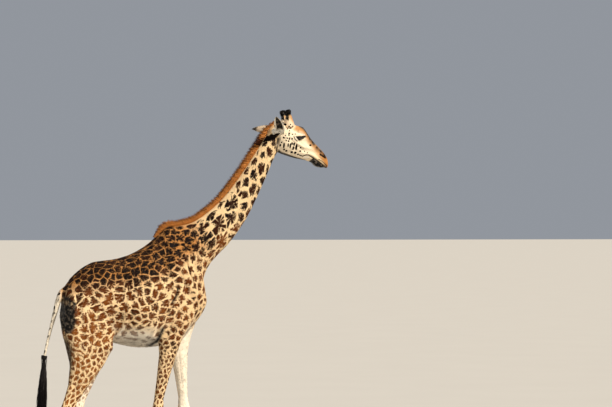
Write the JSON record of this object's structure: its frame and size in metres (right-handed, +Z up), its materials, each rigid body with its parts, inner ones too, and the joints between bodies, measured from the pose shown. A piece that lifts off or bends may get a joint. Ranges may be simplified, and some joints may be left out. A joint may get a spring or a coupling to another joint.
{
  "type": "giraffe",
  "caption": "Life-size still giraffe, standing in mid-stride with its long neck stretched forwards and up, tufted horns, a short upright mane and a tufted tail.",
  "frame": {"origin": "on the ground, below the middle of the animal's overall box; the hooves stand on z = 0", "axes": "+X forwards, towards the head; +Y to the animal's left; +Z up"},
  "size_m": [2.9348, 0.615, 3.9299],
  "materials": {
    "coat": "short, flat, smooth hair: jagged dark brown patches on a cream and tan ground",
    "mane": "stiff upright orange-brown hair",
    "dark_hair": "coarse black hair",
    "eye": "wet, dark, glossy",
    "hoof": "dull dark horn with fine growth rings"
  },
  "bodies": {
    "root": {"head": "coat", "lower_jaw": "coat", "neck": "coat", "trunk": "coat", "tail": "coat", "leg_fore_right_upper": "coat", "leg_fore_right_lower": "coat", "leg_fore_left_upper": "coat", "leg_fore_left_lower": "coat", "leg_hind_right_upper": "coat", "leg_hind_right_lower": "coat", "leg_hind_left_upper": "coat", "leg_hind_left_lower": "coat", "ear_left": "coat", "ear_right": "coat", "ossicone_left": "coat", "ossicone_right": "coat", "mane": "mane", "tail_tuft": "dark_hair", "eye_left": "eye", "eye_right": "eye", "claw_fore_right_inner": "hoof", "claw_fore_right_outer": "hoof", "claw_fore_left_inner": "hoof", "claw_fore_left_outer": "hoof", "claw_hind_right_inner": "hoof", "claw_hind_right_outer": "hoof", "claw_hind_left_inner": "hoof", "claw_hind_left_outer": "hoof"}
  },
  "joints": []
}
